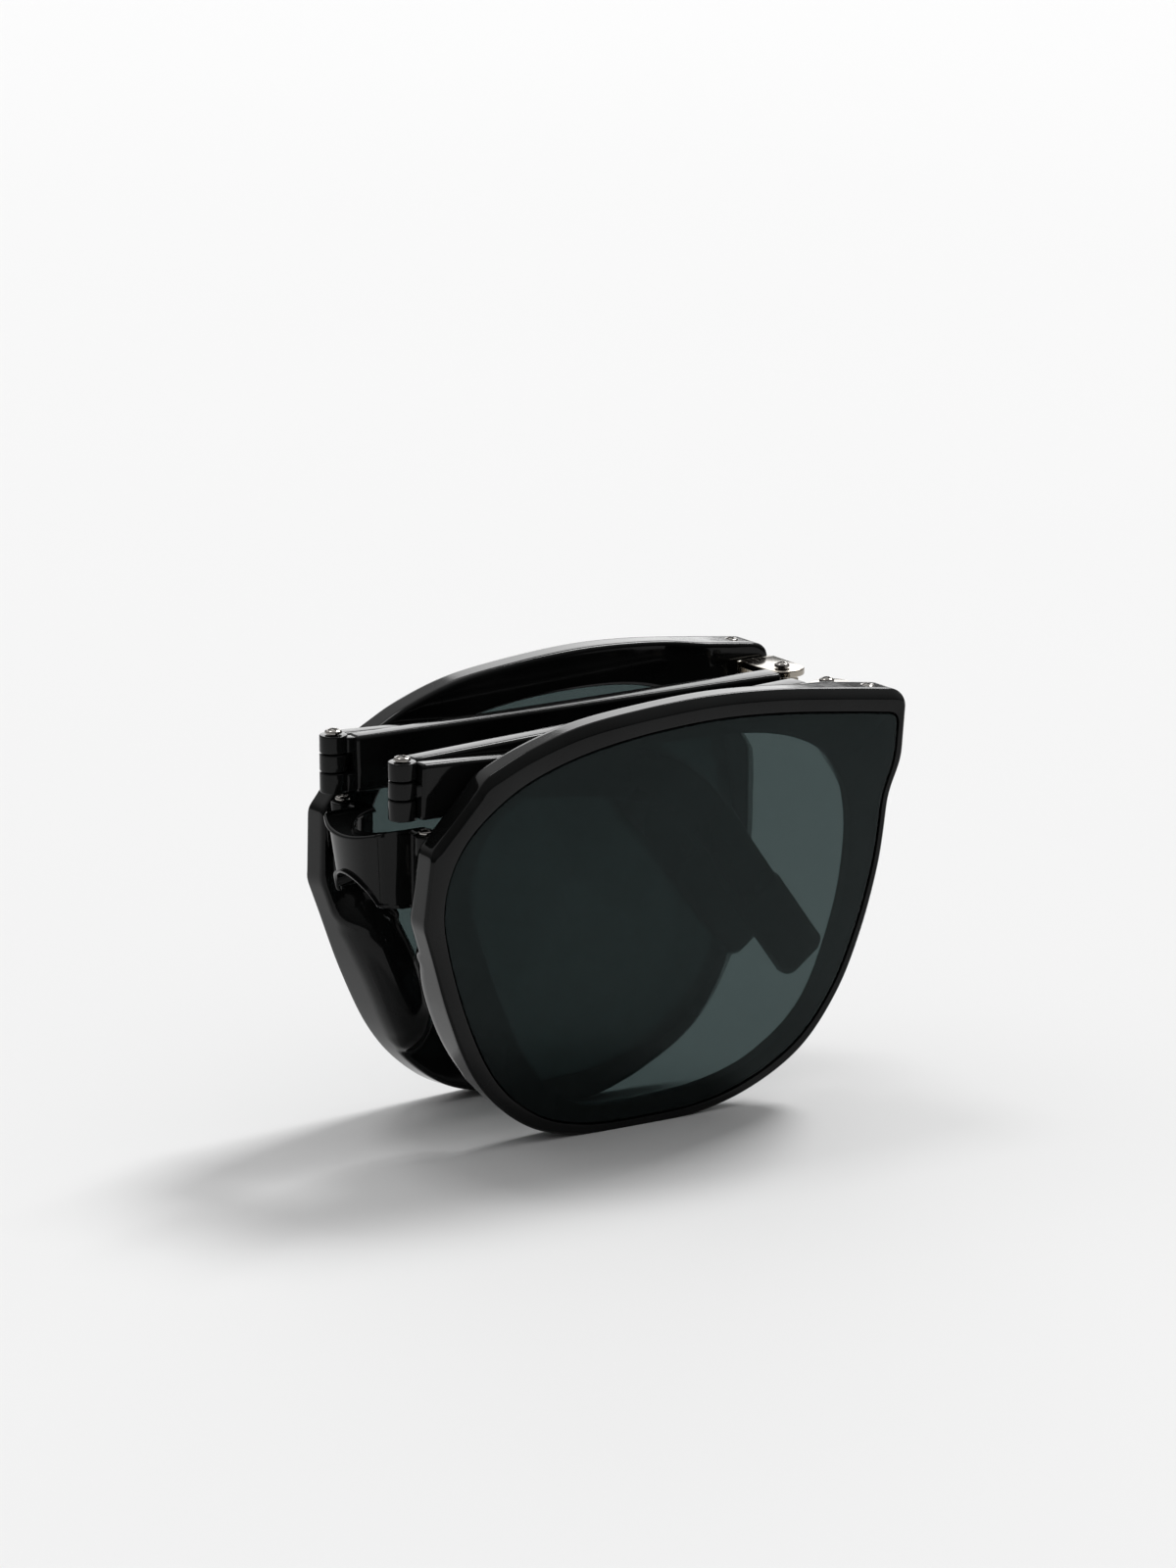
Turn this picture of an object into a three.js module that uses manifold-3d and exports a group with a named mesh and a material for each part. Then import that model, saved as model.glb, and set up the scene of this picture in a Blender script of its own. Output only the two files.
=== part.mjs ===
// Folding sunglasses, folded flat: two lens rims back to back on a hinged bridge,
// each temple folded in at its end piece and once more at its middle hinge.
// Millimetres, +Z up. X runs along the rims (nose side at -X), Y across the fold,
// the left half at -Y. The left half is drawn and the right half is its mirror image.
import * as THREE from 'three';
import { mergeVertices } from 'three/addons/utils/BufferGeometryUtils.js';
import Module from 'manifold-3d';

const wasm = await Module();
wasm.setup();

// Rims and lenses
const rimTilt = THREE.MathUtils.degToRad(5);
const rimSpread = THREE.MathUtils.degToRad(1.9);
const rimFrontAtFloor = 10.2;
const rimLengthShare = 0.978;
const browRise = 0.013;
const rimDepth = 3.6;
const rimRearEase = 0.5;
const topEase = 1.0;
const edgeEase = 0.25;
const flankStart = 1.4;
const flankBevel = 1.8;
const endPieceDepth = 5.0;
const lensSeatDepth = 1.3;
const lensFrontDepth = 0.25;
const lensThickness = 0.85;
const fitGap = 0.3;
const footTrim = 0.68;

// Hinge lines, given as distance along the rim and distance from the middle plane
const bridgePivot = { x: -28.9, y: -8.7 };
const middlePivot = { x: -30.9, y: -7.2 };
const templePivot = { x: 26.5, y: -4.4 };
const endScrewLine = { x: 25.6, y: -13.4 };
const boreRadius = 0.75;
const pinRadius = 0.45;

// Bridge
const bridgeLow = 28.3;
const bridgeTop = 37.0;
const bridgeHalfWidth = 5.75;
const bridgeLean = 1.0;
const bridgeTaper = 0.8;
const bridgeKnuckleRadius = 1.35;
const bridgeKnuckles = { low: 31.2, high: 34.6 };
const archRadius = 6.0;
const archCrown = 31.4;
const saddleRadius = 17.5;
const saddleLow = 36.1;

// Temples
const middleKnuckleRadius = 1.55;
const middleBarrel = { low: 38.7, seamLow: 41.0, seamHigh: 43.1, high: 45.1 };
const sleeveStart = 0.8;
const plateThickness = 0.8;
const forkTop = 45.7;
const forkLow = 41.9;
const tongueRadius = 2.0;
const tongueReach = 0.7;

const black = { color: 0x0b0c0c, roughness: 0.18, metalness: 0.0 };
const tint = { color: 0x1c2a2a, roughness: 0.08, metalness: 0.0 };
const steel = { color: 0xb9b2a4, roughness: 0.22, metalness: 1.0 };

function signedVolume(position, index) {
  const a = new THREE.Vector3();
  const b = new THREE.Vector3();
  const c = new THREE.Vector3();
  let total = 0;
  for (let i = 0; i < index.length; i += 3) {
    a.fromBufferAttribute(position, index[i]);
    b.fromBufferAttribute(position, index[i + 1]);
    c.fromBufferAttribute(position, index[i + 2]);
    total += a.dot(b.cross(c)) / 6;
  }
  return total;
}

// Closed solid from a geometry, wound so that its faces look outwards.
function solid(geometry) {
  const bare = new THREE.BufferGeometry();
  bare.setAttribute('position', geometry.getAttribute('position'));
  bare.setIndex(geometry.index);
  const welded = mergeVertices(bare, 1e-4);
  const index = Array.from(welded.index.array);
  if (signedVolume(welded.attributes.position, index) < 0) {
    index.reverse();
  }
  return new wasm.Manifold(new wasm.Mesh({
    numProp: 3,
    vertProperties: new Float32Array(welded.attributes.position.array),
    triVerts: new Uint32Array(index),
  }));
}

function geometryOf(body) {
  const mesh = body.getMesh();
  const geometry = new THREE.BufferGeometry();
  geometry.setAttribute('position', new THREE.BufferAttribute(new Float32Array(mesh.vertProperties), 3));
  geometry.setIndex(new THREE.BufferAttribute(new Uint32Array(mesh.triVerts), 1));
  return geometry;
}

// Skin over a row of equally long rings, capped at both ends.
function skin(rings, capOutlines) {
  const count = rings[0].length;
  const index = [];
  for (let ring = 0; ring + 1 < rings.length; ring += 1) {
    for (let i = 0; i < count; i += 1) {
      const here = ring * count + i;
      const next = ring * count + ((i + 1) % count);
      index.push(here, next, next + count, here, next + count, here + count);
    }
  }
  const last = (rings.length - 1) * count;
  for (const face of THREE.ShapeUtils.triangulateShape(capOutlines[0], [])) {
    index.push(face[0], face[2], face[1]);
  }
  for (const face of THREE.ShapeUtils.triangulateShape(capOutlines[1], [])) {
    index.push(last + face[0], last + face[1], last + face[2]);
  }
  const geometry = new THREE.BufferGeometry();
  const flat = rings.flat().flatMap((point) => point.toArray());
  geometry.setAttribute('position', new THREE.Float32BufferAttribute(flat, 3));
  geometry.setIndex(index);
  return solid(geometry);
}

// Closed outline moved inwards along its own normals by inset(normal).
function insetOutline(outline, inset) {
  return outline.map((point, i) => {
    const before = outline[(i + outline.length - 1) % outline.length];
    const after = outline[(i + 1) % outline.length];
    const normal = new THREE.Vector2(after.y - before.y, before.x - after.x).normalize();
    return point.clone().addScaledVector(normal, -inset(normal));
  });
}

// Stack of outlines at rising depths behind the front face: [depth, inset] pairs.
function stack(outline, layers) {
  const outlines = layers.map(([, inset]) => insetOutline(outline, inset));
  const rings = outlines.map((ring, k) => ring.map((p) => new THREE.Vector3(p.x, p.y, layers[k][0])));
  return skin(rings, [outlines[0], outlines[outlines.length - 1]]);
}

function points(shape, divisions) {
  const list = shape.getPoints(divisions);
  if (list[0].distanceTo(list[list.length - 1]) < 1e-6) {
    list.pop();
  }
  return list;
}

function vectors(pairs) {
  return pairs.map(([x, y]) => new THREE.Vector2(x, y));
}

function box(x0, x1, y0, y1, z0, z1) {
  const geometry = new THREE.BoxGeometry(x1 - x0, y1 - y0, z1 - z0);
  geometry.translate((x0 + x1) / 2, (y0 + y1) / 2, (z0 + z1) / 2);
  return solid(geometry);
}

// Upright cylinder on a hinge line.
function upright(pivot, radius, low, high, segments = 32) {
  const geometry = new THREE.CylinderGeometry(radius, radius, high - low, segments);
  geometry.rotateX(Math.PI / 2);
  geometry.translate(pivot.x, pivot.y, (low + high) / 2);
  return solid(geometry);
}

// Lying cylinder along X, used for the arch and the saddle of the bridge.
function lying(radius, x0, x1, z, segments) {
  const geometry = new THREE.CylinderGeometry(radius, radius, x1 - x0, segments);
  geometry.rotateZ(Math.PI / 2);
  geometry.translate((x0 + x1) / 2, 0, z);
  return solid(geometry);
}

// Slotted screw with a domed head standing on a hinge line; the pin hangs below the head.
function screw(pivot, pinLow, headLow, headRadius, headHeight) {
  const profile = [new THREE.Vector2(0, pinLow), new THREE.Vector2(pinRadius, pinLow)];
  profile.push(new THREE.Vector2(pinRadius, headLow), new THREE.Vector2(headRadius, headLow));
  const rise = headHeight * 0.35;
  for (let i = 0; i <= 6; i += 1) {
    const angle = (i / 6) * (Math.PI / 2);
    const height = headLow + rise + (headHeight - rise) * Math.sin(angle);
    profile.push(new THREE.Vector2(headRadius * Math.cos(angle), height));
  }
  profile[profile.length - 1].x = 0;
  const geometry = new THREE.LatheGeometry(profile, 28);
  geometry.rotateX(Math.PI / 2);
  geometry.translate(pivot.x, pivot.y, 0);
  const half = headRadius * 0.16;
  const reach = headRadius * 0.72;
  const floor = headLow + headHeight * 0.6;
  const across = box(pivot.x - reach, pivot.x + reach, pivot.y - half, pivot.y + half, floor, floor + 1);
  const along = box(pivot.x - half, pivot.x + half, pivot.y - reach, pivot.y + reach, floor, floor + 1);
  return solid(geometry).subtract(across.add(along));
}

// Rounded rectangle, width along the first axis and height along the second.
function section(width, height, radius) {
  const corner = Math.min(radius, width / 2 - 0.02, height / 2 - 0.02);
  const list = [];
  for (let quarter = 0; quarter < 4; quarter += 1) {
    const signX = quarter === 0 || quarter === 3 ? 1 : -1;
    const signY = quarter < 2 ? 1 : -1;
    for (let i = 0; i <= 4; i += 1) {
      const angle = ((quarter + i / 4) * Math.PI) / 2;
      const x = signX * (width / 2 - corner) + corner * Math.cos(angle);
      const y = signY * (height / 2 - corner) + corner * Math.sin(angle);
      list.push(new THREE.Vector2(x, y));
    }
  }
  return list;
}

// Bar along a curve; size(t) gives its width, height and corner radius at each station.
function bar(curve, from, to, stations, size) {
  const rings = [];
  const caps = [];
  for (let i = 0; i <= stations; i += 1) {
    const t = from + ((to - from) * i) / stations;
    const tangent = curve.getTangent(t);
    const side = new THREE.Vector3(0, 1, 0).addScaledVector(tangent, -tangent.y).normalize();
    const up = tangent.clone().cross(side).negate().normalize();
    const { width, height, radius } = size(t);
    const ring = section(width, height, radius);
    const centre = curve.getPoint(t);
    rings.push(ring.map((p) => centre.clone().addScaledVector(side, p.x).addScaledVector(up, p.y)));
    caps.push(ring);
  }
  return skin(rings, [caps[0], caps[caps.length - 1]]);
}

// The rim is drawn 62 mm long and level; this shortens it and lifts it towards the end piece.
function settled(list) {
  return list.map((point) => {
    const reach = point.x - bridgePivot.x;
    return new THREE.Vector2(bridgePivot.x + reach * rimLengthShare, point.y + reach * browRise);
  });
}

function rimOutline() {
  const shape = new THREE.Shape();
  shape.moveTo(-3, 0);
  shape.splineThru(vectors([
    [5, 0.25], [12.5, 2.1], [19, 5.8], [23.5, 11.6], [26.3, 18.4], [28.2, 26.2], [28.9, 33.2],
  ]));
  shape.bezierCurveTo(29.2, 36, 30.35, 36.9, 30.5, 39.4);
  shape.lineTo(30.6, 44.4);
  shape.quadraticCurveTo(30.7, 46.25, 28.6, 46.55);
  shape.splineThru(vectors([
    [22.5, 47.4], [13.5, 48.5], [5, 48.95], [-4, 48.6], [-12, 47.75], [-18.5, 46], [-23.2, 44],
  ]));
  shape.quadraticCurveTo(-24.4, 43.4, -25.1, 42.3);
  shape.lineTo(-30.2, 36.7);
  shape.quadraticCurveTo(-30.8, 36.1, -30.85, 35.2);
  shape.lineTo(-31.4, 28.7);
  shape.quadraticCurveTo(-31.5, 28, -31.25, 27.2);
  shape.splineThru(vectors([
    [-30.2, 24.1], [-27.8, 17], [-24.7, 10.2], [-20.9, 5.5], [-15.8, 2.0], [-9.5, 0.35], [-3, 0],
  ]));
  return settled(points(shape, 4));
}

function lensOutline() {
  const shape = new THREE.Shape();
  shape.moveTo(-3, 1.3);
  shape.splineThru(vectors([
    [5, 1.5], [12, 3.2], [18.4, 6.9], [22.6, 12.2], [25.4, 18.9], [27.3, 26.4], [28, 33.4],
  ]));
  shape.bezierCurveTo(28.3, 36, 29.3, 37, 29.5, 39.6);
  shape.lineTo(29.6, 42.4);
  shape.quadraticCurveTo(29.6, 43.9, 28, 44);
  shape.splineThru(vectors([
    [22.5, 44.8], [13.5, 45.9], [5, 46.35], [-4, 45.9], [-12, 44.7], [-18.5, 42.7],
    [-23, 40.1], [-26.4, 36.9], [-28.3, 33.2], [-28.9, 29.2], [-28.2, 24.8], [-25.9, 17.6],
    [-22.8, 10.9], [-19.3, 6.4], [-14.6, 3.2], [-9, 1.65], [-3, 1.3],
  ]));
  return settled(points(shape, 3));
}

function apertureOutline() {
  const shape = new THREE.Shape();
  shape.moveTo(-2, 2.9);
  shape.splineThru(vectors([
    [7, 3.5], [14, 5.8], [20, 11.1], [23.5, 20.6], [24.5, 28.6], [23.9, 34.1], [22, 38.2],
    [18.8, 41.2], [13, 43.3], [5, 44.1], [-5, 43.8], [-14, 42.2], [-20.5, 39.2], [-24, 35.2],
    [-25, 30.4], [-23.6, 25], [-20.9, 18], [-17.6, 11.4], [-14, 6.6], [-9, 3.6], [-2, 2.9],
  ]));
  return settled(points(shape, 3));
}

const none = () => 0;
const evenly = (amount) => () => amount;
const frontEase = (normal) => edgeEase + (topEase - edgeEase) * Math.max(0, normal.y);
const partEase = (normal) => 0.35 * frontEase(normal);
const flank = (normal) => flankBevel * Math.max(0, normal.x);

// Places rim drawings (along the rim, up the rim, depth behind its front) on the left half.
function standRim(body) {
  const along = new THREE.Vector3(Math.cos(rimSpread), -Math.sin(rimSpread), 0);
  const inward = new THREE.Vector3(Math.sin(rimSpread), Math.cos(rimSpread), 0);
  const height = new THREE.Vector3(0, 0, 1);
  const up = inward.clone().multiplyScalar(-Math.sin(rimTilt)).addScaledVector(height, Math.cos(rimTilt));
  const back = up.clone().cross(along);
  const hinge = new THREE.Vector3(bridgePivot.x, -rimFrontAtFloor, 0);
  const frame = new THREE.Matrix4().makeBasis(along, up, back);
  frame.setPosition(hinge.addScaledVector(along, -bridgePivot.x));
  return solid(geometryOf(body).applyMatrix4(frame));
}

function nosePad(outline) {
  const geometry = new THREE.SphereGeometry(1, 32, 20);
  geometry.scale(5.4, 10.8, 5.5);
  geometry.rotateZ(THREE.MathUtils.degToRad(19));
  geometry.translate(-24.2, 17.3, 2.7);
  return solid(geometry).intersect(stack(outline, [[1.5, evenly(0.2)], [9, evenly(0.2)]]));
}

function endPiece(outline) {
  const block = new THREE.Shape();
  block.moveTo(12, 1.2);
  block.lineTo(15.5, rimDepth);
  block.bezierCurveTo(18, rimDepth, 18.5, endPieceDepth, 21.5, endPieceDepth);
  block.lineTo(32, endPieceDepth);
  block.lineTo(32, 1.2);
  const geometry = new THREE.ExtrudeGeometry(block, { depth: 12, bevelEnabled: false, curveSegments: 10 });
  geometry.rotateX(Math.PI / 2);
  geometry.translate(0, 51, 0);
  const body = stack(outline, [
    [1.1, none], [endPieceDepth - 0.6, none],
    [endPieceDepth - 0.2, evenly(0.2)], [endPieceDepth, evenly(0.6)],
  ]);
  return body.intersect(solid(geometry));
}

function rim() {
  const outline = rimOutline();
  const body = stack(outline, [
    [0, frontEase], [0.3, partEase], [0.95, none], [flankStart, none],
    [rimDepth - rimRearEase, flank], [rimDepth, (normal) => flank(normal) + rimRearEase],
  ]);
  const recess = stack(insetOutline(lensOutline(), evenly(-fitGap)), [[-1, none], [lensSeatDepth, none]]);
  const aperture = stack(apertureOutline(), [[-1, none], [12, none]]);
  const moulded = body.add(nosePad(outline)).add(endPiece(outline)).subtract(recess).subtract(aperture);

  const knuckles = upright(bridgePivot, bridgeKnuckleRadius, 29, bridgeTop);
  const pocket = upright(
    bridgePivot, bridgeKnuckleRadius + fitGap, bridgeKnuckles.low - fitGap, bridgeKnuckles.high + fitGap,
  );
  const bore = upright(bridgePivot, boreRadius, 29.4, 40);
  const screwWell = upright(endScrewLine, 1.1, 46.95, 50).add(upright(endScrewLine, boreRadius, 45.85, 50));
  const floor = box(-60, 60, -40, 20, -5, footTrim);
  return standRim(moulded)
    .add(knuckles)
    .subtract(pocket)
    .subtract(bore)
    .subtract(screwWell)
    .subtract(floor);
}

function lens() {
  const depth = lensFrontDepth + lensThickness;
  const panel = stack(lensOutline(), [
    [lensFrontDepth, evenly(0.15)], [lensFrontDepth + 0.15, none], [depth, none],
  ]);
  return standRim(panel);
}

function bridge() {
  const half = bridgeHalfWidth;
  const shape = new THREE.Shape();
  shape.moveTo(-33.2, -half);
  shape.splineThru(vectors([[-34.4, -3.1], [-34.8, 0], [-34.4, 3.1], [-33.2, half]]));
  shape.lineTo(-29.2, half);
  shape.lineTo(-29.2, -bridgePivot.y);
  shape.lineTo(-26.9, -bridgePivot.y);
  shape.lineTo(-26.9, 4.8);
  shape.bezierCurveTo(-30.3, 4.2, -31.9, 2.4, -31.9, 0);
  shape.bezierCurveTo(-31.9, -2.4, -30.3, -4.2, -26.9, -4.8);
  shape.lineTo(-26.9, bridgePivot.y);
  shape.lineTo(-29.2, bridgePivot.y);
  shape.lineTo(-29.2, -half);
  shape.closePath();
  const depth = bridgeTop - bridgeLow;
  const geometry = new THREE.ExtrudeGeometry(shape, { depth, bevelEnabled: false, curveSegments: 8 });
  geometry.translate(0, 0, bridgeLow);
  const corners = geometry.getAttribute('position');
  for (let i = 0; i < corners.count; i += 1) {
    if (corners.getX(i) < -33 && corners.getZ(i) < bridgeTop - 1) {
      corners.setX(i, corners.getX(i) + bridgeLean);
      corners.setY(i, corners.getY(i) * bridgeTaper);
    }
  }
  let body = solid(geometry);
  body = body.subtract(lying(archRadius, -40, -20, archCrown - archRadius, 64));
  body = body.subtract(lying(saddleRadius, -40, -20, saddleLow + saddleRadius, 160));
  for (const side of [1, -1]) {
    const pivot = { x: bridgePivot.x, y: side * bridgePivot.y };
    const clear = bridgeKnuckleRadius + fitGap;
    body = body.add(upright(pivot, bridgeKnuckleRadius, bridgeKnuckles.low - 0.5, bridgeKnuckles.high + 0.5));
    body = body.subtract(upright(pivot, clear, 20, bridgeKnuckles.low));
    body = body.subtract(upright(pivot, clear, bridgeKnuckles.high, 45));
    body = body.subtract(upright(pivot, boreRadius, 20, 45));
  }
  return body;
}

const frontArmCurve = new THREE.LineCurve3(
  new THREE.Vector3(-29.7, -5.85, 41.9), new THREE.Vector3(24.2, -2.5, 43.15),
);
const rearArmCurve = new THREE.CatmullRomCurve3([
  new THREE.Vector3(-29.7, -8.4, 41.9),
  new THREE.Vector3(-18, -8.4, 41.4),
  new THREE.Vector3(-6, -8.3, 40.1),
  new THREE.Vector3(2, -8.0, 37.8),
  new THREE.Vector3(7.5, -7.5, 33.4),
  new THREE.Vector3(11.7, -7.0, 27.9),
  new THREE.Vector3(16.2, -6.5, 22.0),
  new THREE.Vector3(21.3, -6.0, 15.3),
]);

function frontArm() {
  const size = (t) => ({ width: 2.3 + 0.9 * t, height: 6.4 - 0.7 * t, radius: 0.8 });
  const barrel = middleBarrel;
  const clear = middleKnuckleRadius + fitGap;
  const knuckles = upright(middlePivot, middleKnuckleRadius, barrel.low, barrel.high);
  const slot = box(19.9, 30, -3.5, -1.5, forkLow + plateThickness, forkTop - plateThickness);
  return bar(frontArmCurve, 0, 1, 6, size)
    .add(knuckles)
    .subtract(upright(middlePivot, clear, barrel.seamLow, barrel.seamHigh))
    .subtract(upright(middlePivot, boreRadius, barrel.low + 0.4, 50))
    .subtract(slot);
}

function rearArm() {
  const size = (t) => ({ width: 2.1 + 0.3 * t, height: 6.2 - 1.1 * t, radius: 0.8 });
  const tenon = () => ({ width: 1.0, height: 2.6, radius: 0.4 });
  const barrel = middleBarrel;
  const clear = middleKnuckleRadius + fitGap;
  return bar(rearArmCurve, 0, sleeveStart, 22, size)
    .add(bar(rearArmCurve, sleeveStart - 0.01, sleeveStart + 0.1, 3, tenon))
    .add(upright(middlePivot, middleKnuckleRadius, barrel.seamLow, barrel.seamHigh))
    .subtract(upright(middlePivot, clear, 30, barrel.seamLow + fitGap))
    .subtract(upright(middlePivot, clear, barrel.seamHigh - fitGap, 50))
    .subtract(upright(middlePivot, boreRadius, 30, 50));
}

function tipSleeve() {
  const start = sleeveStart + 0.006;
  const size = (t) => {
    const left = Math.max(0, (1 - t) / 0.075);
    const round = left < 1 ? Math.sqrt(1 - (1 - left) ** 2) : 1;
    return { width: 2.9 * (0.35 + 0.65 * round), height: 6.0 * (0.35 + 0.65 * round), radius: 1.2 };
  };
  const socket = () => ({ width: 1.6, height: 3.2, radius: 0.6 });
  return bar(rearArmCurve, start, 1, 20, size)
    .subtract(bar(rearArmCurve, start - 0.02, sleeveStart + 0.115, 3, socket));
}

// Rim side of the temple hinge: a foot plate with two round-ended tongues.
function hingeFork() {
  const { x, y } = templePivot;
  const outline = new THREE.Shape();
  outline.moveTo(x - tongueRadius, -10.1);
  outline.lineTo(x - tongueRadius, y);
  outline.absarc(x, y, tongueRadius, Math.PI, Math.PI / 2, true);
  outline.lineTo(x + tongueReach, y + tongueRadius);
  outline.absarc(x + tongueReach, y, tongueRadius, Math.PI / 2, 0, true);
  outline.lineTo(x + tongueReach + tongueRadius, -10.1);
  outline.closePath();
  const sheet = { depth: plateThickness, bevelEnabled: false, curveSegments: 12 };
  const tongue = (low) => solid(new THREE.ExtrudeGeometry(outline, sheet).translate(0, 0, low));
  const foot = box(24.1, 29.0, -10.4, -9.75, 41.3, forkTop);
  return foot
    .add(tongue(forkTop - plateThickness))
    .add(tongue(forkLow))
    .subtract(upright(templePivot, boreRadius, 40, 50));
}

// Temple side of the temple hinge: one tongue with a shank let into the arm.
function hingeLeaf() {
  const low = forkLow + plateThickness + fitGap;
  const high = forkTop - plateThickness - fitGap;
  return upright(templePivot, tongueRadius - 0.1, low, high)
    .add(box(20.3, templePivot.x - 0.5, -3.2, -1.8, low, high))
    .subtract(upright(templePivot, boreRadius, 40, 50));
}

const group = new THREE.Group();

function addNode(name, body, look, mirrored) {
  let shape = body;
  if (mirrored) {
    shape = solid(geometryOf(body).scale(1, -1, 1));
  }
  const geometry = geometryOf(shape).toNonIndexed();
  geometry.computeVertexNormals();
  const mesh = new THREE.Mesh(geometry, new THREE.MeshStandardMaterial(look));
  mesh.name = name;
  group.add(mesh);
}

addNode('bridge', bridge(), black, false);

const pieces = [
  ['rim', rim(), black],
  ['lens', lens(), tint],
  ['bridge_screw', screw(bridgePivot, 29.7, bridgeTop + 0.2, 0.85, 0.5), steel],
  ['end_piece_screw', screw(endScrewLine, 46.15, 47.2, 0.85, 0.4), steel],
  ['hinge_fork', hingeFork(), steel],
  ['hinge_leaf', hingeLeaf(), steel],
  ['temple_screw', screw(templePivot, forkLow, forkTop + 0.15, 0.85, 0.55), steel],
  ['temple_front', frontArm(), black],
  ['temple_rear', rearArm(), black],
  ['temple_tip', tipSleeve(), black],
  ['middle_screw', screw(middlePivot, 39.4, middleBarrel.high + 0.15, 0.95, 0.5), steel],
];
for (const [name, body, look] of pieces) {
  addNode(`${name}_left`, body, look, false);
  addNode(`${name}_right`, body, look, true);
}

// The origin is the middle of the footprint, on the floor.
const bounds = new THREE.Box3().setFromObject(group);
const centre = bounds.getCenter(new THREE.Vector3());
for (const mesh of group.children) {
  mesh.geometry.translate(-centre.x, -centre.y, -bounds.min.z);
}

export default group;
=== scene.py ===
"""Looks for the folding sunglasses: polished black rims, temples and bridge, dark tinted
lens panels and small polished hinges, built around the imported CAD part."""

import math

import bpy
import numpy as np
from mathutils import Matrix, Vector

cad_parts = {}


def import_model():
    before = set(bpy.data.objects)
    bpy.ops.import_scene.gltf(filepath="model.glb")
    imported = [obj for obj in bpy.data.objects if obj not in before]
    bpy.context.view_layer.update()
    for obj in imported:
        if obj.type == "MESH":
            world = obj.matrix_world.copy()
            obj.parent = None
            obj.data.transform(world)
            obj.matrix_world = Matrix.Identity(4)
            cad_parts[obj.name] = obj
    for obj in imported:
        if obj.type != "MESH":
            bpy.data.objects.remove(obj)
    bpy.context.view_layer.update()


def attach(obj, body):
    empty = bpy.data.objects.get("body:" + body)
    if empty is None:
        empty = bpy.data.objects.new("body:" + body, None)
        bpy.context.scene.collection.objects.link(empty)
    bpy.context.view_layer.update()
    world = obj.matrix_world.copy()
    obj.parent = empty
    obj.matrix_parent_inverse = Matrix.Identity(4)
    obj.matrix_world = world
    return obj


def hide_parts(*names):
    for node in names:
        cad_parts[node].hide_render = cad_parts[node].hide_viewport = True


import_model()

# Sizes are in millimetres, in the frame of the CAD drawing.
MM = 0.001
FOOT_TRIM = 0.68
SHIFT = np.array([2.7114, 0.0, -FOOT_TRIM])  # to the middle of the CAD box, feet on the floor
TILT = math.radians(5.0)
SPREAD = math.radians(1.9)
LENGTH_SHARE = 0.978
BROW_RISE = 0.013
RIM_FRONT = 10.2
RIM_DEPTH = 3.6
SEAT_DEPTH = 1.3
END_DEPTH = 5.0
BOX_INSET = 0.01
FLOOR_GAP = 0.005
FLANK_TAPER = 1.8
FLANK_START = 1.4
FLANK_RUN = 1.7
FLANK_SMOOTHING = 16
PAD_CENTRE = (-24.2, 17.3)
PAD_TURN = math.radians(19)
POCKET_RADIUS = 1.62
BRIDGE_PIVOT = (-28.9, -8.7)
MIDDLE_PIVOT = (-30.9, -7.2)
TEMPLE_PIVOT = (26.5, -4.4)
END_SCREW = (25.6, -13.4)
BRIDGE_LOW = 28.3
BRIDGE_TOP = 37.0
BRIDGE_HALF = 5.75
ARCH_RADIUS = 6.0
ARCH_CENTRE = 25.4
SADDLE_RADIUS = 17.5
SADDLE_LOW = 36.1
PIN_BORE = 0.5
LUG_RADIUS = 1.35
MIDDLE_RADIUS = 1.55
TONGUE_RADIUS = 1.98
ARM_END = 0.815
SLEEVE_START = 0.80
OBJECT_MIDDLE = (0, 0, 0.03)  # metres


# ---------------------------------------------------------------- curves

def catmull(points, steps):
    """Uniform Catmull-Rom through the points, ends doubled."""
    points = np.asarray(points, float)
    padded = np.vstack([points[:1], points, points[-1:]])
    out = [points[0]]
    for i in range(1, len(padded) - 2):
        p0, p1, p2, p3 = padded[i - 1:i + 3]
        for k in range(1, steps + 1):
            t = k / steps
            out.append(0.5 * (2 * p1 + (p2 - p0) * t + (2 * p0 - 5 * p1 + 4 * p2 - p3) * t ** 2
                              + (3 * p1 - p0 - 3 * p2 + p3) * t ** 3))
    return np.array(out)


def bezier(points, steps):
    """Bezier curve of any degree over its control points."""
    points = np.asarray(points, float)
    t = np.linspace(0, 1, steps + 1)[:, None]
    degree = len(points) - 1
    return sum(math.comb(degree, k) * (1 - t) ** (degree - k) * t ** k * points[k]
               for k in range(degree + 1))


def chain(start, *pieces):
    """One polyline from splines ('s') and Beziers ('b'), each starting where the last ended."""
    path = [np.array([start], float)]
    for kind, points in pieces:
        points = np.vstack([path[-1][-1:], np.asarray(points, float)])
        made = catmull(points, 12) if kind == "s" else bezier(points, 14)
        path.append(made[1:])
    return np.vstack(path)


def settled(outline):
    """The rim is drawn 62 mm long and level; this shortens it and lifts it towards the end piece."""
    reach = outline[:, 0] - BRIDGE_PIVOT[0]
    return np.column_stack([BRIDGE_PIVOT[0] + reach * LENGTH_SHARE, outline[:, 1] + reach * BROW_RISE])


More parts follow.
